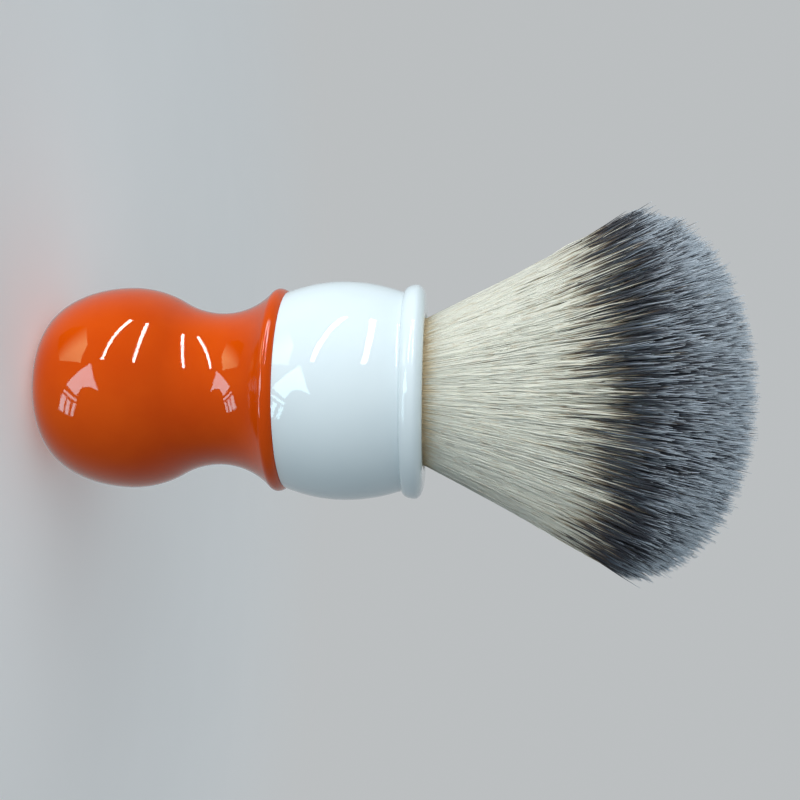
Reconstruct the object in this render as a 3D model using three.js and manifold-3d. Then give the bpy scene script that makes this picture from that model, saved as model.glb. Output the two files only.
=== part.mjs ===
// A shaving brush with a two-colour turned resin handle and a fan-shaped knot of synthetic fibre.
// It stands on its foot, with its axis on +Z and the origin in the middle of the foot. Millimetres.
import * as THREE from "three";
import { mergeVertices } from "three/addons/utils/BufferGeometryUtils.js";
import Module from "manifold-3d";

// Lower handle: a round bulb on a flat foot, a waist, and a flare that ends in a lip at the seam.
const lowerLength = 38.5;
const footRadius = 7.9;
const bulbRadius = 16.15;
const bulbHeight = 13.6;
const waistRadius = 12.2;
const waistHeight = 27.9;
const lipRadius = 16.25;
const lipWidth = 1.2;
const lipEndRadius = 15.6;

// Upper handle: a barrel, a cove, and a rounded bead round the mouth of the socket.
const upperLength = 22;
const barrelEndRadius = 15.7;
const barrelRadius = 17.45;
const barrelHeight = 9.2;
const coveRadius = 15.9;
const beadRadius = 17.05;
const beadWidth = 3.4;
const beadCrestWidth = 1.9;
const beadFrontDrop = 2.4;
const mouthChamfer = 0.4;

// The joints inside: a tenon of the lower handle in the upper one, and the socket for the knot.
const tenonRadius = 8;
const tenonChamfer = 0.6;
const webThickness = 2.4;
const socketDepth = 12;
const fitGap = 0.3;

// Knot: a cast plug, and fibres rooted in the four quarters of its top slice.
const knotRadius = 12;
const sliceThickness = 3;
const rootRecess = 1.4;
const plugChamfer = 0.8;
const loft = 50.9;
const fanEdgeHeight = 34.2;
const fanRadius = 29.8;
const strandGap = 0.3;
const rootDepth = 1;

// How far round an S-shaped stretch its outward arc reaches, as a share of both arcs' radii.
const bulbArcShare = 0.55;
const lipArcShare = 0.09;
const barrelArcShare = 0.93;
// Where a strand stops widening and starts to taper, as a share of its free length.
const shoulderShare = 0.9;

// Counts.
const strandRows = 11;
const quarters = ["bristles_front", "bristles_right", "bristles_back", "bristles_left"];
const turnSteps = 40;
const arcSteps = 4;

// Heights worked out from the sizes above.
const seam = lowerLength;
const rim = seam + upperLength;
const socketFloor = rim - socketDepth;
const tenonTop = socketFloor - webThickness - fitGap;
const sliceTop = rim - rootRecess;
const sliceBottom = sliceTop - sliceThickness;
const fanSpread = (fanRadius - knotRadius) / fanEdgeHeight;
const quarterTurn = Math.PI / 2;

const wasm = await Module();
wasm.setup();

function material(color, roughness) {
  return new THREE.MeshStandardMaterial({ color, roughness, metalness: 0 });
}

const orangeResin = material(0xc84b0a, 0.12);
const whiteResin = material(0xe9eef0, 0.12);
const castResin = material(0x8d8675, 0.5);
const fibre = material(0xcbc4ac, 0.75);

// A profile holds x as the radius and y as the height. From a crest (radius, height) to a
// trough, or the other way, two arcs meet in one tangent: the outward arc takes its share of the radii.
function sCurve(profile, crest, trough, share) {
  const fall = crest.radius - trough.radius;
  const run = Math.abs(trough.height - crest.height);
  const radii = (run * run + fall * fall) / (2 * fall);
  const outward = radii * share;
  const inward = radii - outward;
  const turn = Math.asin(run / radii);
  const crestFirst = trough.height > crest.height;
  const outwardArc = () =>
    profile.absarc(
      crest.radius - outward,
      crest.height,
      outward,
      crestFirst ? 0 : -turn,
      crestFirst ? turn : 0,
      false,
    );
  const inwardArc = () =>
    profile.absarc(
      trough.radius + inward,
      trough.height,
      inward,
      crestFirst ? Math.PI + turn : Math.PI,
      crestFirst ? Math.PI : Math.PI - turn,
      true,
    );
  if (crestFirst) outwardArc();
  inwardArc();
  if (!crestFirst) outwardArc();
}

// The arc between a crest, where it runs along the axis, and an end above or below it.
function crestArc(profile, crest, end) {
  const fall = crest.radius - end.radius;
  const run = end.height - crest.height;
  const radius = (run * run + fall * fall) / (2 * fall);
  const turn = Math.asin(run / radius);
  profile.absarc(
    crest.radius - radius,
    crest.height,
    radius,
    Math.min(turn, 0),
    Math.max(turn, 0),
    false,
  );
}

function turned(profile, look, name) {
  const geometry = new THREE.LatheGeometry(profile.getPoints(arcSteps), turnSteps);
  geometry.rotateX(quarterTurn);
  const mesh = new THREE.Mesh(geometry, look);
  mesh.name = name;
  return mesh;
}

function lowerHandle() {
  const bulb = { radius: bulbRadius, height: bulbHeight };
  const waist = { radius: waistRadius, height: waistHeight };
  const lip = { radius: lipRadius, height: seam - lipWidth };
  const profile = new THREE.Path();
  profile.moveTo(0, 0);
  profile.lineTo(footRadius, 0);
  profile.absellipse(
    footRadius,
    bulbHeight,
    bulbRadius - footRadius,
    bulbHeight,
    -quarterTurn,
    0,
    false,
  );
  sCurve(profile, bulb, waist, bulbArcShare);
  sCurve(profile, lip, waist, lipArcShare);
  crestArc(profile, lip, { radius: lipEndRadius, height: seam });
  profile.lineTo(tenonRadius, seam);
  profile.lineTo(tenonRadius, tenonTop - tenonChamfer);
  profile.lineTo(tenonRadius - tenonChamfer, tenonTop);
  profile.lineTo(0, tenonTop);
  return turned(profile, orangeResin, "lower_handle");
}

function upperHandle() {
  const bottom = seam + fitGap;
  const groove = rim - beadWidth;
  const end = { radius: barrelEndRadius, height: bottom };
  const barrel = { radius: barrelRadius, height: seam + barrelHeight };
  const cove = { radius: coveRadius, height: groove };
  const mortiseRadius = tenonRadius + fitGap;
  const mortiseTop = tenonTop + fitGap;
  const socketRadius = knotRadius + fitGap;
  const crestHeight = groove + beadCrestWidth;
  const profile = new THREE.Path();
  profile.moveTo(0, mortiseTop);
  profile.lineTo(mortiseRadius, mortiseTop);
  profile.lineTo(mortiseRadius, bottom);
  profile.lineTo(end.radius, end.height);
  crestArc(profile, barrel, end);
  sCurve(profile, barrel, cove, barrelArcShare);
  profile.absellipse(
    coveRadius,
    crestHeight,
    beadRadius - coveRadius,
    beadCrestWidth,
    -quarterTurn,
    0,
    false,
  );
  profile.absellipse(
    beadRadius - beadFrontDrop,
    crestHeight,
    beadFrontDrop,
    rim - crestHeight,
    0,
    quarterTurn,
    false,
  );
  profile.lineTo(socketRadius + mouthChamfer, rim);
  profile.lineTo(socketRadius, rim - mouthChamfer);
  profile.lineTo(socketRadius, socketFloor);
  profile.lineTo(0, socketFloor);
  return turned(profile, whiteResin, "upper_handle");
}

function knotPlug() {
  const bottom = socketFloor + fitGap;
  const top = sliceBottom - fitGap;
  const profile = new THREE.Path();
  profile.moveTo(0, bottom);
  profile.lineTo(knotRadius - plugChamfer, bottom);
  profile.lineTo(knotRadius, bottom + plugChamfer);
  profile.lineTo(knotRadius, top);
  profile.lineTo(0, top);
  return turned(profile, castResin, "knot_plug");
}

// A closed geometry as a solid that can be joined.
function solidOf(geometry) {
  const bare = geometry.clone();
  bare.deleteAttribute("normal");
  bare.deleteAttribute("uv");
  const merged = mergeVertices(bare);
  return new wasm.Manifold(
    new wasm.Mesh({
      numProp: 3,
      vertProperties: merged.attributes.position.array,
      triVerts: new Uint32Array(merged.index.array),
    }),
  );
}

function geometryOf(solid) {
  const { vertProperties, triVerts } = solid.getMesh();
  const geometry = new THREE.BufferGeometry();
  geometry.setAttribute("position", new THREE.BufferAttribute(vertProperties, 3));
  geometry.setIndex(new THREE.BufferAttribute(triVerts, 1));
  geometry.computeVertexNormals();
  return geometry;
}

// The fan is made of rays that meet below the knot. A ray's share is 0 on the axis, 1 at the edge.
function rayRadius(share, height) {
  return share * (knotRadius + (height - rim) * fanSpread);
}

// The tips lie on a dome that falls with the square of the share.
function freeLength(share) {
  return loft - (loft - fanEdgeHeight) * share * share;
}

// A point beside the half-plane at an angle, half a strand's gap to one side of it.
function besidePlane(radius, angle, height, side) {
  const offset = (side * strandGap) / 2;
  return [
    radius * Math.cos(angle) - offset * Math.sin(angle),
    radius * Math.sin(angle) + offset * Math.cos(angle),
    height,
  ];
}

// The four corners of a strand at a height, between two rays and two angles, anticlockwise.
function strandCorners(cell, height) {
  const half = strandGap / 2;
  const inner = Math.max(rayRadius(cell.innerShare, height) + half, strandGap);
  const outer = rayRadius(cell.outerShare, height) - half;
  return [
    besidePlane(inner, cell.from, height, 1),
    besidePlane(outer, cell.from, height, 1),
    besidePlane(outer, cell.to, height, -1),
    besidePlane(inner, cell.to, height, -1),
  ];
}

// One strand: a four-sided stem that widens along its rays, then a tapered tip. The tips lean
// outwards a little, so that those of the last row end on the fan's edge.
function addStrand(positions, indices, cell) {
  const tipHeight = rim + freeLength(cell.tipShare);
  const shoulder = rim + freeLength(cell.tipShare) * shoulderShare;
  const tipAngle = (cell.from + cell.to) / 2;
  const tipRadius = rayRadius(cell.tipShare, tipHeight);
  const root = positions.length / 3;
  positions.push(...strandCorners(cell, sliceTop - rootDepth).flat());
  positions.push(...strandCorners(cell, shoulder).flat());
  positions.push(tipRadius * Math.cos(tipAngle), tipRadius * Math.sin(tipAngle), tipHeight);
  indices.push(root, root + 3, root + 2, root, root + 2, root + 1);
  for (let side = 0; side < 4; side += 1) {
    const here = root + side;
    const next = root + ((side + 1) % 4);
    indices.push(here, next, next + 4, here, next + 4, here + 4);
    indices.push(here + 4, next + 4, root + 8);
  }
}

// All strands of a quarter turn, in rows of equal width, with cells about as long as wide.
function quarterStrands() {
  const positions = [];
  const indices = [];
  for (let row = 0; row < strandRows; row += 1) {
    const count = Math.round((row + 0.5) * quarterTurn);
    for (let place = 0; place < count; place += 1) {
      addStrand(positions, indices, {
        innerShare: row / strandRows,
        outerShare: (row + 1) / strandRows,
        tipShare: (row + 0.5) / (strandRows - 0.5),
        from: (place / count) * quarterTurn,
        to: ((place + 1) / count) * quarterTurn,
      });
    }
  }
  const geometry = new THREE.BufferGeometry();
  geometry.setAttribute("position", new THREE.Float32BufferAttribute(positions, 3));
  geometry.setIndex(indices);
  return geometry;
}

// A quarter of the plug's top slice, set back by half a gap from both of its straight sides.
function quarterSlice() {
  const inset = strandGap / 2;
  const trim = Math.asin(inset / knotRadius);
  const outline = new THREE.Shape();
  outline.moveTo(inset, inset);
  outline.lineTo(knotRadius * Math.cos(trim), inset);
  outline.absarc(0, 0, knotRadius, trim, quarterTurn - trim, false);
  const geometry = new THREE.ExtrudeGeometry(outline, {
    depth: sliceThickness,
    bevelEnabled: false,
    curveSegments: turnSteps / 4,
  });
  geometry.translate(0, 0, sliceBottom);
  return geometry;
}

// The strands are made between +X and +Y, and each quarter is turned to face its own side.
function knotQuarters() {
  const geometry = geometryOf(solidOf(quarterSlice()).add(solidOf(quarterStrands())));
  return quarters.map((name, index) => {
    const mesh = new THREE.Mesh(geometry, fibre);
    mesh.name = name;
    mesh.rotation.z = (index - 1.5) * quarterTurn;
    return mesh;
  });
}

const brush = new THREE.Group();
brush.add(lowerHandle(), upperHandle(), knotPlug(), ...knotQuarters());

export default brush;
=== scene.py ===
# %% [markdown]
# # A shaving brush, dressed for a close-up
# The brush has three things to look at: a bulb of orange cast resin, a barrel of white cast
# resin, and a fan of several thousand fine fibres. The packed model gives their sizes and
# places. This lesson turns fine meshes over the handle, grows the fibres one by one along
# the rays of the fan, and gives each of them a finish.

# %% The packed model
from math import asin, cos, pi, radians, sin, sqrt, tau

import bpy
import numpy as np
from mathutils import Matrix, Vector


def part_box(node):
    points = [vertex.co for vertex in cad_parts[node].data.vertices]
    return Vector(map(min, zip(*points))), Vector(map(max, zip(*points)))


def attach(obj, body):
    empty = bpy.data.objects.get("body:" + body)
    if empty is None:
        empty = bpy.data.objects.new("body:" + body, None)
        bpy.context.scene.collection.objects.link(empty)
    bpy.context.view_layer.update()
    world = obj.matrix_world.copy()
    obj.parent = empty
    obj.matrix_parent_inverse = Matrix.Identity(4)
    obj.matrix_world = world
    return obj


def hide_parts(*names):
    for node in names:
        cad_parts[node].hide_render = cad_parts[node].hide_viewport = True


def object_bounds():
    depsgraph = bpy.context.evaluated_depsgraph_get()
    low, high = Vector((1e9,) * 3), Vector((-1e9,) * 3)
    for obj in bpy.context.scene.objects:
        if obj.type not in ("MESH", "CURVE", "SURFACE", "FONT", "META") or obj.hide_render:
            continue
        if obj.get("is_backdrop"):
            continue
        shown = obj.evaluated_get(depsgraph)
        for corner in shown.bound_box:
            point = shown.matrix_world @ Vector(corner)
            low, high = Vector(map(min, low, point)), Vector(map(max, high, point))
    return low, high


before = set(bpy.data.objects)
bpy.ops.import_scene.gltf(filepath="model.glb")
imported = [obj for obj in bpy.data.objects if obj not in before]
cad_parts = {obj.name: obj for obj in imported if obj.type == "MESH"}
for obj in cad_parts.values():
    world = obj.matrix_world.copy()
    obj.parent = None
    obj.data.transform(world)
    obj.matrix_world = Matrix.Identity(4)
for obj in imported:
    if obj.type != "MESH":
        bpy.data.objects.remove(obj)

cad_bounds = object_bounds()
print("packed nodes:", ", ".join(sorted(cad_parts)))

# %% [markdown]
# ## Units and the sizes that the model gives
# Blender works in metres, and a brush is easier to think about in millimetres. So every size
# here is written in millimetres, and `MM` turns it into metres where a mesh is made. The seam,
# the rim and the knot are read from the boxes of the packed nodes, so nothing has to be fitted.

# %% Heights and radii read from the frame
MM = 0.001


def box_mm(node):
    """The low and the high corner of a packed node's box, in millimetres."""
    low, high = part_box(node)
    return low / MM, high / MM


def add_object(name, data):
    """An object in the scene that carries a mesh, a lamp or a camera."""
    made = bpy.data.objects.new(name, data)
    bpy.context.scene.collection.objects.link(made)
    return made


fit_gap = 0.3
_, lower_high = box_mm("lower_handle")
upper_low, upper_high = box_mm("upper_handle")
plug_low, plug_high = box_mm("knot_plug")
knot_low, knot_high = box_mm("bristles_front")
seam = upper_low.z - fit_gap
rim = upper_high.z
tenon_top = lower_high.z
socket_floor = plug_low.z - fit_gap
slice_bottom = knot_low.z
slice_top = rim - 1.4
knot_radius = plug_high.x
loft = knot_high.z - rim
print(f"seam {seam:.1f}, rim {rim:.1f}, knot radius {knot_radius:.1f}, loft {loft:.1f} mm")

# %% [markdown]
# ## The camera
# The photograph looks down on a brush that lies on its side, from close by. The model stands
# upright, so the camera is turned a quarter instead: the brush's axis runs to the right of the
# picture. A small tilt brings the fibres nearer than the foot, and a small roll turns the axis.
# The numbers were found by matching the outline of the turned handle, whose rims are circles,
# so their apparent curve tells how far away the camera was.

# %% A camera that lies on its side
camera_distance = 160.0
aim_height = 56.43
axis_tilt = radians(3.5)
axis_roll = radians(0.86)
axis_rise = 1.352
sensor_width = 36.0
frame_width_pixels = 800
focal_pixels = 1000

# The camera's own directions are right, down and forward.
axis_seen = Vector((
    cos(axis_tilt) * cos(axis_roll),
    cos(axis_tilt) * sin(axis_roll),
    -sin(axis_tilt),
))
depth_seen = (Vector((0, 0, 1)) + sin(axis_tilt) * axis_seen).normalized()
side_seen = depth_seen.cross(axis_seen)
to_model = Matrix((side_seen, depth_seen, axis_seen))
to_axis = Vector((0, -axis_rise, camera_distance))
place = Vector((0, 0, aim_height)) - to_model @ to_axis
right, up, back = (to_model @ Vector(v) for v in ((1, 0, 0), (0, -1, 0), (0, 0, -1)))

camera_data = bpy.data.cameras.new("close_camera")
camera_data.sensor_width = sensor_width
camera_data.lens = sensor_width * focal_pixels / frame_width_pixels
camera_data.clip_start = 0.01
camera = add_object("close_camera", camera_data)
turned_camera = Matrix((right, up, back)).transposed().to_4x4()
camera.matrix_world = Matrix.Translation(place * MM) @ turned_camera
bpy.context.scene.camera = camera
bpy.context.scene.view_settings.view_transform = "Standard"
print("camera at", [round(v) for v in place], "mm, lens", camera_data.lens, "mm")

# %% [markdown]
# ## Writing shaders as sums
# A material is a graph of nodes, and long graphs are hard to read as code. `Wire` wraps one
# output socket, so that `1 - mask * 0.5` adds the Math nodes by itself. A Math node turns a
# colour grey, so colours and vectors go through Vector Math and Mix instead. `Shader.node`
# makes every other node: first its settings, then the values or links of its sockets.

# %% A wire that can be added and multiplied
class Wire:
    def __init__(self, shader, socket):
        self.shader = shader
        self.socket = socket

    def math(self, operation, other=None, swap=False):
        values = [self, other] if not swap else [other, self]
        inputs = {i: v for i, v in enumerate(values) if v is not None}
        return self.shader.node("ShaderNodeMath", {"operation": operation}, inputs)

    def __add__(self, other):
        return self.math("ADD", other)

    __radd__ = __add__

    def __mul__(self, other):
        return self.math("MULTIPLY", other)

    __rmul__ = __mul__

    def __sub__(self, other):
        return self.math("SUBTRACT", other)

    def __rsub__(self, other):
        return self.math("SUBTRACT", other, swap=True)

    def __truediv__(self, other):
        return self.math("DIVIDE", other)

    def between(self, low, high):
        """0 below low, 1 above high, and smooth in between."""
        return self.shader.node(
            "ShaderNodeMapRange",
            {"interpolation_type": "SMOOTHSTEP"},
            {"Value": self, "From Min": low, "From Max": high},
        )

    def scaled(self, factor):
        """A colour or vector times a number."""
        settings = {"operation": "SCALE"}
        inputs = {0: self, "Scale": factor}
        return self.shader.node("ShaderNodeVectorMath", settings, inputs)

    def dot(self, direction):
        settings = {"operation": "DOT_PRODUCT"}
        inputs = {0: self, 1: direction}
        return self.shader.node("ShaderNodeVectorMath", settings, inputs, "Value")


print("a wire can", ", ".join(name for name in vars(Wire) if name[0] != "_"))


# %% A material or world whose nodes are made by one method
class Shader:
    def __init__(self, owner):
        owner.use_nodes = True
        self.tree = owner.node_tree
        self.tree.nodes.clear()

    def node(self, kind, settings=None, inputs=None, output=0):
        made = self.tree.nodes.new(kind)
        for name, value in (settings or {}).items():
            if name == "stops":
                self.set_stops(made.color_ramp, value)
            else:
                setattr(made, name, value)
        for name, value in (inputs or {}).items():
            if isinstance(value, Wire):
                self.tree.links.new(value.socket, made.inputs[name])
            else:
                made.inputs[name].default_value = value
        return Wire(self, made.outputs[output]) if made.outputs else None

    @staticmethod
    def set_stops(ramp, stops):
        while len(ramp.elements) < len(stops):
            ramp.elements.new(1.0)
        for element, (position, colour) in zip(ramp.elements, stops):
            element.position = position
            element.color = (*colour, 1)

    def ramp(self, factor, stops):
        return self.node("ShaderNodeValToRGB", {"stops": stops}, {"Fac": factor})

    def mix(self, factor, first, second):
        """A colour between two colours."""
        settings = {"data_type": "RGBA"}
        inputs = {0: factor, 6: first, 7: second}
        return self.node("ShaderNodeMix", settings, inputs, 2)

    def mix_shaders(self, factor, first, second):
        """A surface between two surfaces."""
        return self.node("ShaderNodeMixShader", {}, {0: factor, 1: first, 2: second})

    def attribute(self, name):
        """A number that the mesh stores at each of its points."""
        return self.node("ShaderNodeAttribute", {"attribute_name": name}, {}, "Fac")

    def place(self, output="Object"):
        return self.node("ShaderNodeTexCoord", {}, {}, output)

    def split(self, vector):
        made = self.node("ShaderNodeSeparateXYZ", {}, {0: vector}).socket.node
        return [Wire(self, socket) for socket in made.outputs]

    def noise(self, vector, scale, detail=2.0, roughness=0.5):
        inputs = {
            "Vector": vector,
            "Scale": scale,
            "Detail": detail,
            "Roughness": roughness,
        }
        return self.node("ShaderNodeTexNoise", {}, inputs)

    def bump(self, height, strength, distance):
        inputs = {"Height": height, "Strength": strength, "Distance": distance}
        return self.node("ShaderNodeBump", {}, inputs)

    def principled(self, **inputs):
        named = {name.replace("_", " "): value for name, value in inputs.items()}
        return self.node("ShaderNodeBsdfPrincipled", {}, named)

    def finish(self, surface, kind="ShaderNodeOutputMaterial"):
        self.node(kind, {}, {"Surface": surface})


def new_material(name):
    material = bpy.data.materials.new(name)
    return material, Shader(material)


print("shader helpers ready")

# %% [markdown]
# ## A pale studio
# The brush stands on a pale floor that fades into a backdrop of the same colour, so no horizon
# crosses the picture. The world shows that backdrop to the camera and to reflections, much
# darker on the near side, where a photographer would stand. It lights matt surfaces with a
# soft sky that is bright on the side where the lamps hang, with a weaker glow behind the brush
# that keeps its far side out of the dark. The same could be done with a curved paper sweep,
# but a sweep stands in the way of other views.

# %% Backdrop and soft sky
backdrop_colour = (0.50, 0.52, 0.53, 1)
shade_colour = (0.60, 0.86, 1.0, 1)
light_colour = (1.0, 1.0, 1.0, 1)
sky_side = Vector((-0.67, -0.72, -0.14)).normalized()
sky_edge = -0.15
sky_strength = 1.75
fill_side = Vector((0.35, 0.93, 0.0)).normalized()
fill_edge = 0.2
fill_strength = 0.9
near_side = 0.3
near_edges = (-0.2, 0.7)


def make_world():
    world = bpy.data.worlds.new("pale_studio")
    bpy.context.scene.world = world
    shader = Shader(world)
    direction = shader.place("Generated")
    toward_lamps = direction.dot(sky_side).between(sky_edge, 1.0)
    toward_fill = direction.dot(fill_side).between(fill_edge, 1.0)
    glow = toward_lamps * sky_strength + toward_fill * fill_strength
    tint = shader.mix(toward_lamps + toward_fill, shade_colour, light_colour)
    sky = shader.node("ShaderNodeBackground", {}, {"Color": tint, "Strength": glow})
    camera_ray, glossy_ray, clear_ray = (
        shader.node("ShaderNodeLightPath", {}, {}, name)
        for name in ("Is Camera Ray", "Is Glossy Ray", "Is Transmission Ray")
    )
    nearness = 1 - direction.dot((0, 1, 0)).between(*near_edges)
    dimmed = 1 - glossy_ray * nearness * (1 - near_side)
    shown_inputs = {"Color": backdrop_colour, "Strength": dimmed}
    shown = shader.node("ShaderNodeBackground", {}, shown_inputs)
    seen = camera_ray.math("MAXIMUM", glossy_ray).math("MAXIMUM", clear_ray)
    shader.finish(shader.mix_shaders(seen, sky, shown), "ShaderNodeOutputWorld")


make_world()
print("sky from", [round(v, 2) for v in sky_side])

# %% [markdown]
# ## Lamps that draw the highlights
# Polished resin is known by its highlights. In the photograph they are two tube lamps and a
# window with panes, mirrored once in the bulb and once more, the other way round, in the
# hollow of the waist. They hang on a far sphere round the handle, and their directions were
# worked out from where the highlights lie on the curved surface. A tube is an area lamp from
# one direction to another. The window and the lit wall beside it are glowing panels, because
# an area lamp can't have their outlines.

# %% Tubes between two directions
# The lamps hang far outside the brush, so their places and widths are in metres.
lamp_distance = 2.4
handle_middle = Vector((0, 0, 0.03))
tube_width = 0.12
tube_radiance = 45
tube_ends = {
    "tube_low": ((-0.472, -0.803, -0.363), (-0.985, -0.165, -0.034)),
    "tube_high": ((-0.461, -0.858, 0.226), (-0.966, -0.148, 0.213)),
}


def on_sphere(direction):
    """The place on the far sphere in a direction from the middle of the handle."""
    return Vector(direction).normalized() * lamp_distance + handle_middle


def tube(name, start, end):
    """A strip from one direction to another, as seen from the middle of the handle."""
    first = on_sphere(start)
    last = on_sphere(end)
    data = bpy.data.lights.new(name, "AREA")
    data.shape = "RECTANGLE"
    data.size = (last - first).length
    data.size_y = tube_width
    # An area lamp of some watts shines with watts / (area * pi) to each side.
    data.energy = tube_radiance * data.size * data.size_y * pi
    made = add_object(name, data)
    centre = (first + last) / 2
    along = (last - first).normalized()
    away = (centre - handle_middle).normalized()
    across = away.cross(along).normalized()
    facing = along.cross(across).normalized()
    turned = Matrix((along, across, facing)).transposed().to_4x4()
    made.matrix_world = Matrix.Translation(centre) @ turned
    made.visible_camera = False
    made.visible_diffuse = False


for name, (start, end) in tube_ends.items():
    tube(name, start, end)
print(len(tube_ends), "tubes", lamp_distance, "m away")


# %% Panels with outlines of their own
fade_edge = 0.87


def panel(name, corners, radiance, colour, brightest=None):
    """A glowing sheet that only polish mirrors, fading out from its brightest direction."""
    mesh = bpy.data.meshes.new(name)
    places = [on_sphere(corner) for corner in corners]
    mesh.from_pydata(places, [], [list(range(len(places)))])
    made = add_object(name, mesh)
    for ray in ("camera", "diffuse", "shadow"):
        setattr(made, f"visible_{ray}", False)
    material, shader = new_material(name)
    glow = (*colour, 1)
    if brightest:
        toward = shader.place().dot(Vector(brightest).normalized() / lamp_distance)
        glow = shader.mix(toward.between(fade_edge, 1.0), (0, 0, 0, 1), glow)
    shine = {"Color": glow, "Strength": radiance}
    shader.finish(shader.node("ShaderNodeEmission", {}, shine))
    mesh.materials.append(material)
    made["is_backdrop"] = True


cool_white = (0.60, 0.90, 1.0)
warm_wall = (0.85, 1.0, 0.50)
window_radiance = 12.0
wall_radiance = 6.5
window_outlines = {
    "window": (
        (-0.034, -0.610, -0.792),
        (-0.395, -0.770, -0.501),
        (-0.179, -0.872, -0.455),
        (0.075, -0.918, -0.390),
        (0.000, -0.865, -0.500),
        (0.012, -0.800, -0.598),
        (0.151, -0.729, -0.667),
    ),
    "top_pane": (
        (0.045, -0.580, -0.813),
        (0.220, -0.722, -0.656),
        (0.243, -0.692, -0.681),
        (0.070, -0.562, -0.824),
    ),
    "pane_left": (
        (0.098, -0.541, -0.835),
        (0.163, -0.590, -0.790),
        (0.374, -0.437, -0.818),
        (0.320, -0.382, -0.867),
    ),
    "pane_middle": (
        (0.190, -0.604, -0.774),
        (0.235, -0.634, -0.737),
        (0.430, -0.483, -0.762),
        (0.392, -0.450, -0.801),
    ),
    "pane_right": (
        (0.257, -0.658, -0.708),
        (0.283, -0.685, -0.672),
        (0.460, -0.538, -0.707),
        (0.443, -0.512, -0.736),
    ),
}
for name, outline in window_outlines.items():
    panel(name, outline, window_radiance, cool_white)
wall_outline = (
    (-0.569, 0.043, -0.821),
    (-0.702, 0.007, -0.712),
    (-0.808, -0.166, -0.566),
    (-0.654, -0.519, -0.550),
    (-0.388, -0.675, -0.628),
    (-0.358, -0.361, -0.861),
)
wall_brightest = (-0.56, -0.54, -0.63)
panel("lit_wall", wall_outline, wall_radiance, warm_wall, wall_brightest)
print(len(window_outlines), "panels of the window and a lit wall")

# %% [markdown]
# ## The floor
# A large disc at the height of the foot. Near the brush it is matt and takes the shadow.
# Further out it turns into a surface that simply shows the backdrop's colour, by a mask that
# grows with the distance from the axis. It is hidden from reflections, so that the polished
# handle shows the lamps that hang lower than the foot.

# %% A floor that fades into the backdrop
floor_radius = 3000.0
floor_sink = 0.02
floor_fade_start = 100.0
floor_fade_end = 340.0
floor_mottle = 30.0
floor_dark = (0.63, 0.65, 0.66, 1)
floor_light = (0.67, 0.69, 0.70, 1)
floor_glow = (0.222, 0.224, 0.227, 1)


def make_floor():
    steps = 96
    angles = np.arange(steps) * tau / steps
    radius = floor_radius * MM
    corners = [(radius * cos(a), radius * sin(a), 0) for a in angles]
    mesh = bpy.data.meshes.new("floor")
    mesh.from_pydata(corners, [], [list(range(steps))])
    floor = add_object("floor", mesh)
    floor.location.z = -floor_sink * MM
    material, shader = new_material("pale_floor")
    position = shader.place()
    x, y, _ = shader.split(position)
    distance = (x * x + y * y).math("SQRT")
    near = shader.mix(shader.noise(position, floor_mottle), floor_dark, floor_light)
    matt = shader.principled(
        Base_Color=near,
        Roughness=0.8,
        Specular_IOR_Level=0.1,
        Emission_Color=floor_glow,
        Emission_Strength=1.0,
    )
    plain_inputs = {"Color": backdrop_colour, "Strength": 1.0}
    plain = shader.node("ShaderNodeEmission", {}, plain_inputs)
    fade = distance.between(floor_fade_start * MM, floor_fade_end * MM)
    shader.finish(shader.mix_shaders(fade, matt, plain))
    mesh.materials.append(material)
    floor.visible_glossy = False
    floor.visible_diffuse = False
    floor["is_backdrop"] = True


make_floor()
print("floor fades between", floor_fade_start, "and", floor_fade_end, "mm")

# %% [markdown]
# ## Turning on a lathe
# The real handle is turned, so its outline is all there is to say. An outline is a list of
# points, radius and height, made of arcs that meet in a common tangent, as a turner's curves
# do. `s_curve` joins a crest to a trough with two arcs, and the share says how much of their
# radii the outward arc takes.

# %% Arcs of an outline
arc_steps = 28


def s_curve(crest, trough, share):
    """Points from a crest (radius, height) to a trough, by two tangent arcs."""
    fall = crest[0] - trough[0]
    run = abs(trough[1] - crest[1])
    radii = (run * run + fall * fall) / (2 * fall)
    outward = radii * share
    inward = radii - outward
    turn = asin(run / radii)
    way = 1 if trough[1] > crest[1] else -1
    angles = np.linspace(0, turn, arc_steps)
    first = [(crest[0] - outward + outward * cos(a), crest[1] + way * outward * sin(a))
             for a in angles]
    second = [(trough[0] + inward - inward * cos(a), trough[1] - way * inward * sin(a))
              for a in angles[::-1]]
    return first + second[1:]


def crest_arc(crest, end):
    """Points of one arc from a crest to an end above or below it."""
    fall = crest[0] - end[0]
    run = end[1] - crest[1]
    radius = (run * run + fall * fall) / (2 * fall)
    angles = np.linspace(0, asin(run / radius), arc_steps)
    return [(crest[0] - radius + radius * cos(a), crest[1] + radius * sin(a))
            for a in angles]


def quarter_ellipse(centre, width, height, start, end):
    """Points of an ellipse from one angle to another."""
    angles = np.linspace(start, end, arc_steps)
    return [(centre[0] + width * cos(a), centre[1] + height * sin(a)) for a in angles]


print("an s-curve has", len(s_curve((2, 0), (1, 1.5), 0.5)), "points")


# %% A lathe that also lays out a flat map
turn_steps = 240
same_point = 1e-6
crease_angle = radians(38)


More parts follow.
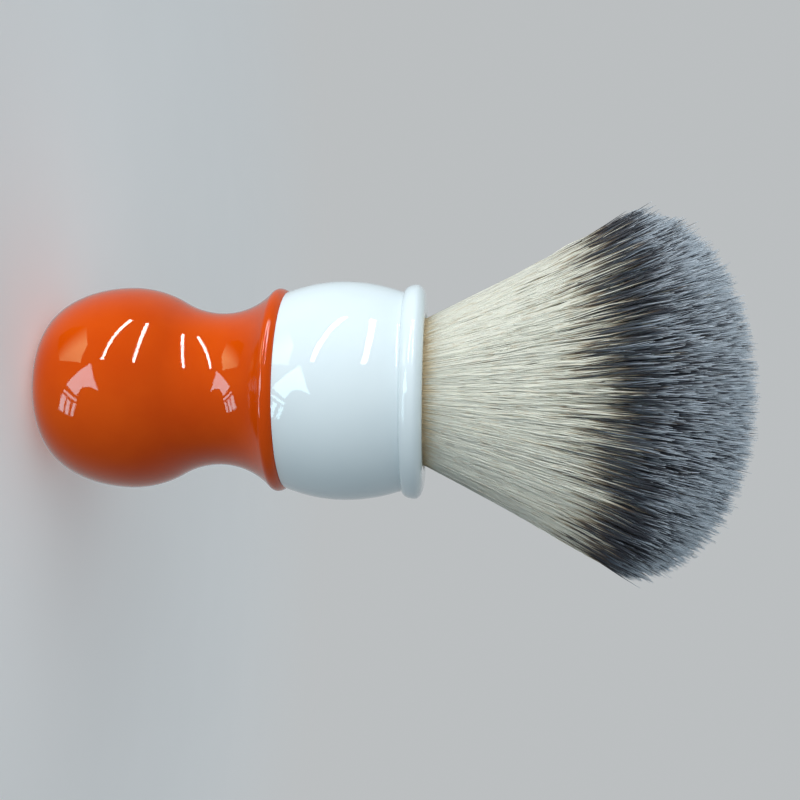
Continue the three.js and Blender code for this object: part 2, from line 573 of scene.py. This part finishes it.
def turned(name, outline, slot, material):
    """A closed turned piece. Its map is the angle across and the way along the outline up."""
    points = np.array(outline)
    keep = np.r_[True, np.abs(np.diff(points, axis=0)).sum(1) > same_point]
    points = points[keep]
    rings = len(points)
    angles = np.arange(turn_steps) * tau / turn_steps
    radius, height = points[:, :1], points[:, 1:]
    places = np.stack([
        radius * np.cos(angles),
        radius * np.sin(angles),
        height + 0 * angles,
    ], axis=-1)
    ends = np.array([[0, 0, points[0, 1]], [0, 0, points[-1, 1]]])
    vertices = np.vstack([places.reshape(-1, 3), ends]) * MM
    way = np.r_[0, np.cumsum(np.hypot(*np.diff(points, axis=0).T))]
    way = (way + radius[0, 0]) / (way[-1] + radius[0, 0] + radius[-1, 0])
    faces, corners = [], []
    low, high = rings * turn_steps, rings * turn_steps + 1
    for step in range(turn_steps):
        after = (step + 1) % turn_steps
        u0, u1 = step / turn_steps, (step + 1) / turn_steps
        faces.append((low, after, step))
        corners += [((u0 + u1) / 2, 0), (u1, way[0]), (u0, way[0])]
        for ring in range(rings - 1):
            a, b = ring * turn_steps, (ring + 1) * turn_steps
            faces.append((a + step, a + after, b + after, b + step))
            corners += [(u0, way[ring]), (u1, way[ring])]
            corners += [(u1, way[ring + 1]), (u0, way[ring + 1])]
        top = (rings - 1) * turn_steps
        faces.append((top + step, top + after, high))
        corners += [(u0, way[-1]), (u1, way[-1]), ((u0 + u1) / 2, 1)]
    mesh = bpy.data.meshes.new(name)
    mesh.from_pydata(vertices.tolist(), [], faces)
    mesh.uv_layers.new(name="OFBake").data.foreach_set("uv", np.array(corners).ravel())
    mesh.polygons.foreach_set("use_smooth", [True] * len(mesh.polygons))
    mesh.set_sharp_from_angle(angle=crease_angle)
    mesh.materials.append(material)
    piece = add_object(name, mesh)
    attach(piece, "root")
    print(name, "has", len(mesh.polygons), "faces")
    return piece


print("the lathe turns in", turn_steps, "steps")

# %% [markdown]
# ## Polished cast resin
# Both handle colours are the same material: resin cast in a solid colour, turned, sanded and
# buffed. Up close it isn't one flat colour. The pigment clouds a little, the buffing leaves
# faint rings that are strongest where the tool had to reach into a hollow, and handling leaves
# patches that are a touch less glossy. All three are noises. That of the rings reads only the
# height, so each of its marks runs round the axis. A picture could be wrapped round the piece
# instead, but noise has no seam and stays sharp however close the camera comes.

# %% Resin with clouds, buffing rings and handled patches
cloud_scale = 70.0
cloud_edges = (0.32, 0.68)
cloud_share = 0.8
grain_scale = 900.0
grain_depth = 0.05
ring_scale = 2600.0
ring_least = 0.15
patch_scale = 45.0
patch_edges = (0.45, 0.75)
polished = 0.035
patch_roughness = 0.05
ring_roughness = 0.03
buffing_depth = 0.00003


def resin(name, deep, light, ring_low, ring_high, ring_strength):
    """Cast resin whose buffing rings grow stronger from one height to another."""
    material, shader = new_material(name)
    position = shader.place()
    z = shader.split(position)[2]
    clouds = shader.noise(position, cloud_scale, 3.0, 0.55)
    grain = shader.noise(position, grain_scale, 2.0, 0.6)
    depth = clouds.between(*cloud_edges) * cloud_share + grain * (1 - cloud_share)
    colour = shader.mix(depth, (*deep, 1), (*light, 1))
    round_axis = shader.node("ShaderNodeCombineXYZ", {}, {"X": 0.0, "Y": 0.0, "Z": z})
    rings = shader.noise(round_axis, ring_scale, 3.0, 0.7)
    hollow = z.between(ring_low * MM, ring_high * MM)
    reach = hollow * (1 - ring_least) + ring_least
    handled = shader.noise(position, patch_scale, 4.0, 0.6).between(*patch_edges)
    rough = handled * patch_roughness + rings * reach * ring_roughness + polished
    marks = rings * reach + grain * grain_depth
    normal = shader.bump(marks, ring_strength, buffing_depth)
    shader.finish(shader.principled(
        Base_Color=colour,
        Roughness=rough,
        Normal=normal,
        Specular_IOR_Level=0.3,
    ))
    return material


orange_resin = resin(
    "orange_cast_resin",
    deep=(0.630, 0.064, 0.001),
    light=(0.700, 0.084, 0.002),
    ring_low=30,
    ring_high=37,
    ring_strength=0.5,
)
white_resin = resin(
    "white_cast_resin",
    deep=(0.745, 0.850, 0.895),
    light=(0.785, 0.885, 0.925),
    ring_low=58,
    ring_high=60,
    ring_strength=0.25,
)
print("resins:", orange_resin.name, white_resin.name)

# %% [markdown]
# ## The lower handle
# One piece of orange resin: a flat foot, a round bulb that sits in the palm, a waist, and a
# flare that ends in a rounded lip. A tenon on top goes into the white piece and lines the two
# up. The lip and the white barrel are both rounded at the seam, so a small groove runs round.

# %% Orange bulb, waist and lip
foot_radius = 7.9
bulb = (16.15, 13.6)
waist = (12.2, 27.9)
lip = (16.25, seam - 1.2)
lip_end = (15.6, seam)
tenon_radius = 8.0
tenon_chamfer = 0.6
bulb_share = 0.55
lip_share = 0.09

lower_outline = (
    quarter_ellipse((foot_radius, bulb[1]), bulb[0] - foot_radius, bulb[1], -pi / 2, 0)
    + s_curve(bulb, waist, bulb_share)
    + s_curve(lip, waist, lip_share)[::-1]
    + crest_arc(lip, lip_end)
    + [
        (tenon_radius, seam),
        (tenon_radius, tenon_top - tenon_chamfer),
        (tenon_radius - tenon_chamfer, tenon_top),
    ]
)
lower = turned("turned_lower_handle", lower_outline, "orange_resin", orange_resin)
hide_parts("lower_handle")

# %% [markdown]
# ## The upper handle
# One piece of white resin: a full barrel, a small cove, and a rounded bead round the mouth of
# the socket that holds the knot. It is glued flush on the lip, so here it comes down to the
# seam, with only a hair's breadth left open.

# %% White barrel, cove and bead
glue_line = 0.04
barrel_end = (15.7, seam + glue_line)
barrel = (17.45, seam + 9.2)
bead_width = 3.4
bead_crest_width = 1.9
bead_drop = 2.4
groove = rim - bead_width
cove = (15.9, groove)
bead_crest = (17.05, groove + bead_crest_width)
barrel_share = 0.93
mouth_round = 0.5
mortise_radius = tenon_radius + fit_gap
socket_radius = knot_radius + fit_gap
bead_under = (cove[0], bead_crest[1])
bead_top = (bead_crest[0] - bead_drop, bead_crest[1])
mouth = (socket_radius + mouth_round, rim - mouth_round)

upper_outline = (
    [(mortise_radius, tenon_top + fit_gap), (mortise_radius, barrel_end[1])]
    + crest_arc(barrel, barrel_end)[::-1]
    + s_curve(barrel, cove, barrel_share)
    + quarter_ellipse(bead_under, bead_crest[0] - cove[0], bead_crest_width, -pi / 2, 0)
    + quarter_ellipse(bead_top, bead_drop, rim - bead_crest[1], 0, pi / 2)
    + quarter_ellipse(mouth, mouth_round, mouth_round, pi / 2, pi)
    + [(socket_radius, socket_floor)]
)
upper = turned("turned_upper_handle", upper_outline, "white_resin", white_resin)
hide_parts("upper_handle")

# %% [markdown]
# ## The plug of the knot
# The roots of the fibres are cast into a plug, which is glued into the socket. Only its top
# could be seen, deep between the fibres, and it is tan where the adhesive has soaked upwards.
# Its lower part stays the packed node, with a finish of its own, and its top slice is turned
# here, a little domed, because the resin creeps up at its middle.

# %% Tan cast resin
plug_dark = (0.26, 0.20, 0.12, 1)
plug_pale = (0.40, 0.33, 0.22, 1)
plug_stain = (0.20, 0.14, 0.08, 1)
plug_grain_scale = 1500.0
plug_stain_scale = 260.0
plug_stain_edges = (0.35, 0.65)
plug_grain_depth = 0.0001


def plug_material():
    material, shader = new_material("cast_plug_resin")
    position = shader.place()
    grain = shader.noise(position, plug_grain_scale, 4.0, 0.65)
    stain = shader.noise(position, plug_stain_scale, 3.0, 0.6).between(*plug_stain_edges)
    clean = shader.mix(grain, plug_dark, plug_pale)
    shader.finish(shader.principled(
        Base_Color=shader.mix(stain, clean, plug_stain),
        Roughness=grain * 0.2 + 0.4,
        Normal=shader.bump(grain, 0.6, plug_grain_depth),
    ))
    return material


cast_resin = plug_material()
plug_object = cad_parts["knot_plug"]
plug_object.data.materials.clear()
plug_object.data.materials.append(cast_resin)

slice_dome = 0.5
slice_outline = (
    [(knot_radius, slice_bottom), (knot_radius, slice_top - slice_dome)]
    + quarter_ellipse((0, slice_top - slice_dome), knot_radius, slice_dome, 0, pi / 2)[1:-1]
)
turned("cast_root_slice", slice_outline, "cast_resin", cast_resin)

# %% [markdown]
# ## The fan of fibres
# The knot is the part that takes the most skill. Its fibres start parallel in the plug and
# spread like rays, so a fibre is named by its share of the way from the axis to the edge, and
# by its angle. The tips lie on a dome that falls with the square of that share. Hair systems
# would do this too, but here each fibre is real mesh: it can be measured and exported.

# %% Rays and the dome
edge_height = 34.2
fan_radius = 29.8
side_hollow = 0.08
root_inset = 0.35
# The eye takes the longest fibres for the dome, so all of them start a little lower.
tip_lift = -0.6


def ray_radius(share, height):
    """The distance from the axis at a height above the rim. The sides are a little hollow."""
    part = height / edge_height
    spread = (1 - side_hollow) * part + side_hollow * part * part
    root = knot_radius - root_inset
    return share * (root + (fan_radius - root) * spread)


def tip_height(share):
    """The height of the dome above the rim."""
    return loft - (loft - edge_height) * share * share


print(f"edge tips at {ray_radius(1, tip_height(1)):.1f} mm from the axis")

# %% [markdown]
# ## Tufts
# Fibres cling together. Near the tips they gather in small tufts half a millimetre across, and
# these lean together in larger ones. A tuft sways as one, so that tufts cross and part, and
# dark gaps open between them. It also has its own shade, its own length and its own shift of
# the dark band, which frays the band. The tufts are spread by the golden angle, which fills a
# disc evenly, with some shaking, and each fibre belongs to the nearest one of either size.

# %% Even scatter over a disc
golden_angle = pi * (3 - sqrt(5))
draw = np.random.default_rng(41)
tuft_shake = 0.45
sway_knots = 9
nearly_one = 0.9999
compared_at_once = 2000


def scatter(count, shake):
    """Places that fill a disc of radius 1 evenly, shaken by part of their spacing."""
    number = np.arange(count) + 0.5
    share = np.sqrt(number / count)
    angle = number * golden_angle
    even = np.stack([share * np.cos(angle), share * np.sin(angle)], 1)
    return even + draw.normal(0, shake / sqrt(count), even.shape)


def nearest(places, centres):
    """For each place, the number of the centre that is nearest to it."""
    found = np.empty(len(places), int)
    for start in range(0, len(places), compared_at_once):
        these = slice(start, start + compared_at_once)
        found[these] = ((places[these, None, :] - centres) ** 2).sum(2).argmin(1)
    return found


class Tufts:
    """Tufts of one size. Each has its own pull, sway, lift, shift of the band and shade."""

    def __init__(self, count, pull, sway, lift, shift, shade):
        self.places = scatter(count, tuft_shake)
        self.pull = draw.uniform(*pull, count)
        self.knots = draw.normal(0, sway, (count, sway_knots, 2))
        self.lift = draw.normal(0, lift, count)
        self.shift = draw.normal(0, shift, count)
        self.shade = draw.normal(0, shade, count)

    def sway(self, member, part):
        """How far sideways a tuft has swayed at some part of the way from rim to tip."""
        way = np.clip(part, 0, nearly_one) * (sway_knots - 1)
        low = np.floor(way).astype(int)
        between = (way - low)[:, None]
        knots = self.knots[member, low], self.knots[member, low + 1]
        found = knots[0] * (1 - between) + knots[1] * between
        return found * np.clip(part, 0, 1)[:, None] ** 2


large_tufts = Tufts(600, pull=(0.05, 0.25), sway=0.22, lift=0.20, shift=0.3, shade=0.30)
small_tufts = Tufts(5600, pull=(0.45, 0.90), sway=0.26, lift=0.26, shift=0.6, shade=0.6)
print("tufts:", len(large_tufts.places), "large,", len(small_tufts.places), "small")

# %% Each fibre finds its tufts
fibre_count = 24000
fibre_shake = 0.5
wall_press = 1.035
closed_layer = (0.985, 1.0)
fibres = scatter(fibre_count, fibre_shake)
# The wall of the socket presses the outermost fibres into a closed layer.
spread = np.linalg.norm(fibres, axis=1)
pressed = np.minimum(spread * wall_press, draw.uniform(*closed_layer, fibre_count))
fibres *= (pressed / spread)[:, None]
in_large = nearest(fibres, large_tufts.places)
in_small = nearest(fibres, small_tufts.places)
fibres_each = round(fibre_count / len(small_tufts.places))
print(fibre_count, "fibres,", fibres_each, "to a small tuft")

# %% [markdown]
# ## From rays to meshes
# A fibre is a closed prism of three sides that tapers towards its tip. Those near the outside
# show their whole length and get eleven rings, so that they can sway. Of those further in only
# the ends show, so three rings do. Each point stores how far it is from the tip, and the rim
# counts as forty millimetres. Shade and shift of the band come in a limited number of kinds,
# so that all fibres of a kind can share one column of the flat map.

# %% Kinds of fibres
shade_kinds = 12
shift_kinds = 32
largest_shade = 2.0
largest_shift = 7.0
own_shade = 0.6
own_shift = 2.3


def kind_of(values, largest, kinds):
    """The numbers of the kinds that values fall into."""
    part = np.clip((values / largest + 1) / 2, 0, nearly_one)
    return np.floor(part * kinds).astype(int)


def value_of(kind, largest, kinds):
    """The value in the middle of a kind."""
    return ((kind + 0.5) / kinds * 2 - 1) * largest


print(shade_kinds * shift_kinds, "kinds of fibres")

# %% Rings and widths of a fibre
at_rim = 40.0
outer_rings = {
    "below_rim": (2.2, 0.0),
    "from_tip": (30.0, 26.0, 22.0, 18.0, 14.0, 10.5, 7.0, 3.5, 0.0),
}
inner_rings = {"below_rim": (2.2,), "from_tip": (6.5, 0.0)}
outer_widths = (
    0.075, 0.080, 0.115, 0.120, 0.120, 0.115, 0.105, 0.100, 0.090, 0.070, 0.030,
)
inner_widths = (0.080, 0.090, 0.030)
print(len(outer_widths), "rings for an outer fibre,", len(inner_widths), "for an inner one")

# %% [markdown]
# ## The way of a single fibre
# A fibre starts on its ray, and its tufts pull it to theirs, more so towards the tip. It ends
# short of the dome by a random length of its own, and at the rim of the fan it is cut shorter
# still, so that the rim looks rounded and frayed. A few fibres stray. Each could also wander
# freely, but then neighbours would cross everywhere, and real fibres lie side by side.

# %% Pulled to the tufts
large_gather = 3.2
small_gather = 2.8
never_zero = 1e-6


def gathered(places, heights, share, tufts, member, power):
    """Places pulled to the rays of their tufts, more so towards the tips, and swayed."""
    centre = tufts.places[member]
    centre_share = np.linalg.norm(centre, axis=1)
    part = heights / tip_height(share)
    radius = ray_radius(centre_share, heights) / np.maximum(centre_share, never_zero)
    pull = tufts.pull[member] * np.clip(part, 0, 1) ** power
    pulled = places + (centre * radius[:, None] - places) * pull[:, None]
    return pulled + tufts.sway(member, part)


print("the pull grows with the powers", large_gather, "and", small_gather)

# %% Cut shorter at the rim of the fan
edge_from = 0.84
mean_edge_cut = 2.2
largest_cut = 6.0


def edge_cut(chosen):
    """How much shorter the fibres at the rim of the fan are, so that the rim is rounded."""
    share = np.linalg.norm(fibres[chosen], axis=1)
    at_edge = np.clip((share - edge_from) / (1 - edge_from), 0, 1)
    return np.minimum(at_edge * draw.exponential(mean_edge_cut, len(share)), largest_cut)


print("cut by up to", largest_cut, "mm, from", edge_from, "of the radius outwards")

# %% Points along each fibre
own_lean = 0.12
own_sway = 0.07
root_sway = 0.42
mean_shortfall = 1.15
stray_share = 0.03
stray_bend = 0.7
reach_out = 0.9
reach_up = 0.8
lowest_ring = 1.0


def fibre_paths(chosen, rings, cut):
    """Centre points, fibre by ring by 3, in millimetres."""
    spot, large, small = fibres[chosen], in_large[chosen], in_small[chosen]
    share = np.linalg.norm(spot, axis=1)
    shortfall = draw.exponential(mean_shortfall, len(spot))
    lift = large_tufts.lift[large] + small_tufts.lift[small] - shortfall
    length = np.minimum(tip_height(share) + tip_lift + lift - cut, loft + reach_up)
    slant = np.hypot(1, share * (fan_radius - knot_radius) / edge_height)
    lean = draw.normal(0, own_lean, (len(spot), 2))
    stray = draw.random(len(spot)) < stray_share
    strayed = np.where(stray[:, None], draw.normal(0, stray_bend, lean.shape), 0)
    round_axis = np.column_stack([-spot[:, 1], spot[:, 0]]) / share[:, None]
    heights = [0 * length - below for below in rings["below_rim"]]
    heights += [
        np.maximum(length - distance / slant, lowest_ring)
        for distance in rings["from_tip"]
    ]
    points = []
    for height in heights:
        clear = np.maximum(height, 0)
        radius = ray_radius(share, clear) / np.maximum(share, never_zero)
        place = spot * radius[:, None]
        place = gathered(place, clear, share, large_tufts, large, large_gather)
        place = gathered(place, clear, share, small_tufts, small, small_gather)
        part = (clear / length)[:, None]
        place = place + lean * part**2 + strayed * part**6
        # Neighbours hold a fibre, so below its tip it sways only round the axis.
        place = place + draw.normal(0, own_sway, place.shape) * part
        held = np.sqrt(part) * (1 - part)
        place = place + round_axis * draw.normal(0, root_sway, part.shape) * held
        # No stray fibre reaches far outside the fan.
        reach = np.linalg.norm(place, axis=1)
        most = ray_radius(1.0, np.minimum(clear, edge_height + 1)) + reach_out * part[:, 0]
        place = place * (np.minimum(reach, most) / np.maximum(reach, never_zero))[:, None]
        points.append(np.column_stack([place, rim + height]))
    return np.stack(points, 1)


print(f"{stray_share:.0%} of the fibres stray")

# %% Prisms round the paths
column_left = 0.1
column_middle = 0.5
column_right = 0.9


def prisms(paths, widths):
    """Points of three-sided tapered prisms, the last ring being a single point."""
    along = paths[:, -1] - paths[:, 0]
    along /= np.linalg.norm(along, axis=1, keepdims=True)
    across = np.cross(along, draw.normal(0, 1, along.shape))
    across /= np.linalg.norm(across, axis=1, keepdims=True)
    third = np.cross(along, across)
    rings = []
    for ring, width in enumerate(widths):
        for angle in np.arange(3) * tau / 3:
            outwards = across * cos(angle) + third * sin(angle)
            rings.append(paths[:, ring] + outwards * width)
    rings.append(paths[:, -1])
    return np.stack(rings, 1)


def prism_faces(rings):
    """Faces of one prism, and how far across its column of the map each corner lies."""
    faces = [(2, 1, 0)]
    across = [(column_middle, column_right, column_left)]
    for ring in range(rings - 1):
        for side in range(3):
            here, after = ring * 3 + side, ring * 3 + (side + 1) % 3
            faces.append((here, after, after + 3, here + 3))
            across.append((column_left, column_right, column_right, column_left))
    last = (rings - 1) * 3
    for side in range(3):
        faces.append((last + side, last + (side + 1) % 3, rings * 3))
        across.append((column_left, column_right, column_middle))
    return faces, across


print("an outer fibre has", len(prism_faces(len(outer_widths))[0]), "faces")

# %% [markdown]
# ## One mesh from many fibres
# A batch is everything that a mesh needs to know about fibres with equal rings. The map puts
# the tip of a fibre at the bottom of its column and its root at the top.

# %% A batch of fibres
silver_cut = 0.9


def fibre_batch(chosen, rings, widths):
    cut = edge_cut(chosen)
    paths = fibre_paths(chosen, rings, cut)
    points = prisms(paths, widths)
    faces, across = prism_faces(len(widths))
    count, each = points.shape[:2]
    ring_of = np.minimum(np.arange(each) // 3, len(widths) - 1)
    # A fibre that was cut shorter has lost a part of its silver end.
    lost = np.outer(cut * silver_cut, np.ones(len(rings["from_tip"])))
    below = at_rim + np.outer(np.ones(count), rings["below_rim"])
    from_tip = np.hstack([below, lost + rings["from_tip"]])[:, ring_of]
    shade = large_tufts.shade[in_large[chosen]] + small_tufts.shade[in_small[chosen]]
    shift = large_tufts.shift[in_large[chosen]] + small_tufts.shift[in_small[chosen]]
    shade = shade + draw.normal(0, own_shade, count)
    shade_kind = kind_of(shade, largest_shade, shade_kinds)
    # Its band keeps its height, so it lies nearer to its tip.
    shift = shift + cut * (1 - silver_cut) + draw.normal(0, own_shift, count)
    shift_kind = kind_of(shift, largest_shift, shift_kinds)
    column = shade_kind * shift_kinds + shift_kind
    along = from_tip / from_tip.max()
    loops, u, v = [], [], []
    start = np.arange(count)[:, None] * each
    for face, places in zip(faces, across):
        loops.append(start + np.array(face))
        u.append((column[:, None] + np.array(places)) / (shade_kinds * shift_kinds))
        v.append(along[:, list(face)])
    return {
        "points": points.reshape(-1, 3) * MM,
        "loops": np.concatenate(loops, 1).ravel(),
        "sizes": np.tile([len(face) for face in faces], count),
        "map": np.stack([np.concatenate(u, 1).ravel(), np.concatenate(v, 1).ravel()], 1),
        "from_tip": from_tip.ravel(),
        "shade": np.repeat(value_of(shade_kind, largest_shade, shade_kinds), each),
        "shift": np.repeat(value_of(shift_kind, largest_shift, shift_kinds), each),
    }


print(f"a fibre that is cut loses {silver_cut:.0%} of the cut from its silver end")


# %% A piece from its batches
def fibre_piece(name, batches, material):
    """One mesh from its batches, with the flat map and the numbers stored at its points."""
    joined = {key: np.concatenate([b[key] for b in batches]) for key in batches[0]}
    firsts = np.cumsum([0] + [len(b["points"]) for b in batches[:-1]])
    joined["loops"] = np.concatenate([b["loops"] + n for b, n in zip(batches, firsts)])
    mesh = bpy.data.meshes.new(name)
    mesh.vertices.add(len(joined["points"]))
    mesh.vertices.foreach_set("co", joined["points"].ravel())
    mesh.loops.add(len(joined["loops"]))
    mesh.loops.foreach_set("vertex_index", joined["loops"])
    mesh.polygons.add(len(joined["sizes"]))
    mesh.polygons.foreach_set("loop_start", np.r_[0, np.cumsum(joined["sizes"])[:-1]])
    mesh.polygons.foreach_set("use_smooth", np.ones(len(joined["sizes"]), bool))
    mesh.update(calc_edges=True)
    mesh.uv_layers.new(name="OFBake").data.foreach_set("uv", joined["map"].ravel())
    for stored in ("from_tip", "shade", "shift"):
        layer = mesh.attributes.new(stored, "FLOAT", "POINT")
        layer.data.foreach_set("value", joined[stored])
    mesh.materials.append(material)
    piece = add_object(name, mesh)
    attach(piece, "root")
    print(name, "has", int((joined["sizes"] - 2).sum()), "triangles")
    return piece


# %% [markdown]
# ## The colours of a fibre
# Each fibre is dyed in bands. From the tip: a silver end, a blue-black band, a hint of rust
# where the dye runs out, and then cream down to the rim. Near the rim it is tan, partly where
# the adhesive has stained it and partly as painted shade where the fibres leave the socket. The
# silver darkens to slate away from the tip. The shift of each kind moves the lower edge of the
# band, and its shade sets how long the silver end is, so pale and dark fibres lie side by side.
# A noise along each kind of fibre paints shade on stretches of it, as if it lay under its
# neighbours there, because no fibre stays on top for its whole length; this breaks the long
# streaks. Short tan dashes near the band are partly a tan tone and partly painted shade between
# the fibres.

# %% Banded fibre
silver_colour = (0.66, 0.74, 0.82, 1)
slate_colour = (0.16, 0.22, 0.30, 1)
slate_from = 5.5
silver_length = 2.9
silver_spread = 0.26
silver_fade = 0.25
dye_length = 20.0
dye_stops = (
    (0.0, (0.075, 0.085, 0.110)),
    (6.6, (0.060, 0.060, 0.070)),
    (8.0, (0.14, 0.095, 0.065)),
    (9.2, (0.42, 0.36, 0.26)),
    (10.6, (0.72, 0.70, 0.59)),
    (12.6, (0.85, 0.845, 0.74)),
)
stain_and_shade_colour = (0.80, 0.63, 0.38, 1)
stain_and_shade_zone = (at_rim - 5.0, at_rim + 0.5)
palest_tone = 0.97
shade_contrast = 0.02
under_shade_length = 3.2
under_shade_edges = (0.30, 0.55)
under_shade_contrast = 0.06
shift_apart = 7.3
shade_apart = 5.1
dash_tone_and_shade_colour = (0.60, 0.46, 0.30, 1)
dash_finer = 1.7
dash_edges = (0.60, 0.72)
dash_zone = (6.0, 14.0)
dash_strength = 0.35
fibre_roughness = 0.40
roughness_spread = 0.04


def fibre_material():
    material, shader = new_material("banded_fibre")
    from_tip = shader.attribute("from_tip")
    shift = shader.attribute("shift")
    shade = shader.attribute("shade")
    dyed = shader.ramp(
        (from_tip + shift) / dye_length,
        [(mm / dye_length, colour) for mm, colour in dye_stops],
    )
    longer = shade * silver_spread + 1
    silver_end = from_tip / (longer * longer * longer * silver_length)
    silver = shader.mix(from_tip.between(0.0, slate_from), silver_colour, slate_colour)
    banded = shader.mix(silver_end.between(silver_fade, 1.0), silver, dyed)
    # Tan near the rim: partly the adhesive's stain, partly painted shade where the fibres leave
    # the socket.
    rooted = shader.mix(from_tip.between(*stain_and_shade_zone), banded, stain_and_shade_colour)
    # Each kind of fibre has its own line through the noise, far from those of the others.
    along_kind = shader.node("ShaderNodeCombineXYZ", {}, {
        "X": from_tip / under_shade_length,
        "Y": shift * shift_apart,
        "Z": shade * shade_apart,
    })
    # Painted shade: darker stretches where a fibre is taken to lie under its neighbours.
    painted_under_shade = shader.noise(along_kind, 1.0, 1.0).between(*under_shade_edges)
    darkest_tone = palest_tone - under_shade_contrast
    tone = painted_under_shade * under_shade_contrast + shade * shade_contrast + darkest_tone
    # Tan dashes near the band: partly a tan tone of the cream, partly painted shade between
    # fibres.
    dash_tone_and_shade_mask = shader.noise(along_kind.scaled(dash_finer), 1.0, 0.0).between(*dash_edges)
    dash_tone_and_shade = dash_tone_and_shade_mask * dash_strength * from_tip.between(*dash_zone)
    shader.finish(shader.principled(
        Base_Color=shader.mix(dash_tone_and_shade, rooted, dash_tone_and_shade_colour).scaled(tone),
        Roughness=shade * roughness_spread + fibre_roughness,
        IOR=1.5,
    ))
    return material


banded_fibre = fibre_material()
print("silver", silver_length, "mm, dye to", dye_stops[-1][0], "mm from the tip")

# %% [markdown]
# ## Growing the knot
# The packed model holds the fibres in four quarters, and each quarter is replaced by one piece.
# A fibre goes to the quarter that its root stands in.

# %% Four quarters of fibres
outer_share = 0.835
quarter_names = ("right", "back", "left", "front")

is_outer = np.linalg.norm(fibres, axis=1) > outer_share
angle_of = np.arctan2(fibres[:, 1], fibres[:, 0])
quarter_of = np.floor((angle_of / (pi / 2) + 0.5) % 4).astype(int)

for number, side in enumerate(quarter_names):
    in_quarter = quarter_of == number
    batches = [
        fibre_batch(in_quarter & is_outer, outer_rings, outer_widths),
        fibre_batch(in_quarter & ~is_outer, inner_rings, inner_widths),
    ]
    quarter = fibre_piece(f"fibres_{side}", batches, banded_fibre)
    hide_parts(f"bristles_{side}")

# %% [markdown]
# ## Measuring
# The boxes of the packed and of the dressed brush are both printed. The dressed brush has to
# fill the same box as the packed one.

# %% Boxes of the packed and the dressed brush
sizes = {
    "cad": [list(corner) for corner in cad_bounds],
    "visual": [list(corner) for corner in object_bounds()],
}
for which, (low, high) in sizes.items():
    print(which, [round((b - a) / MM, 1) for a, b in zip(low, high)], "mm")
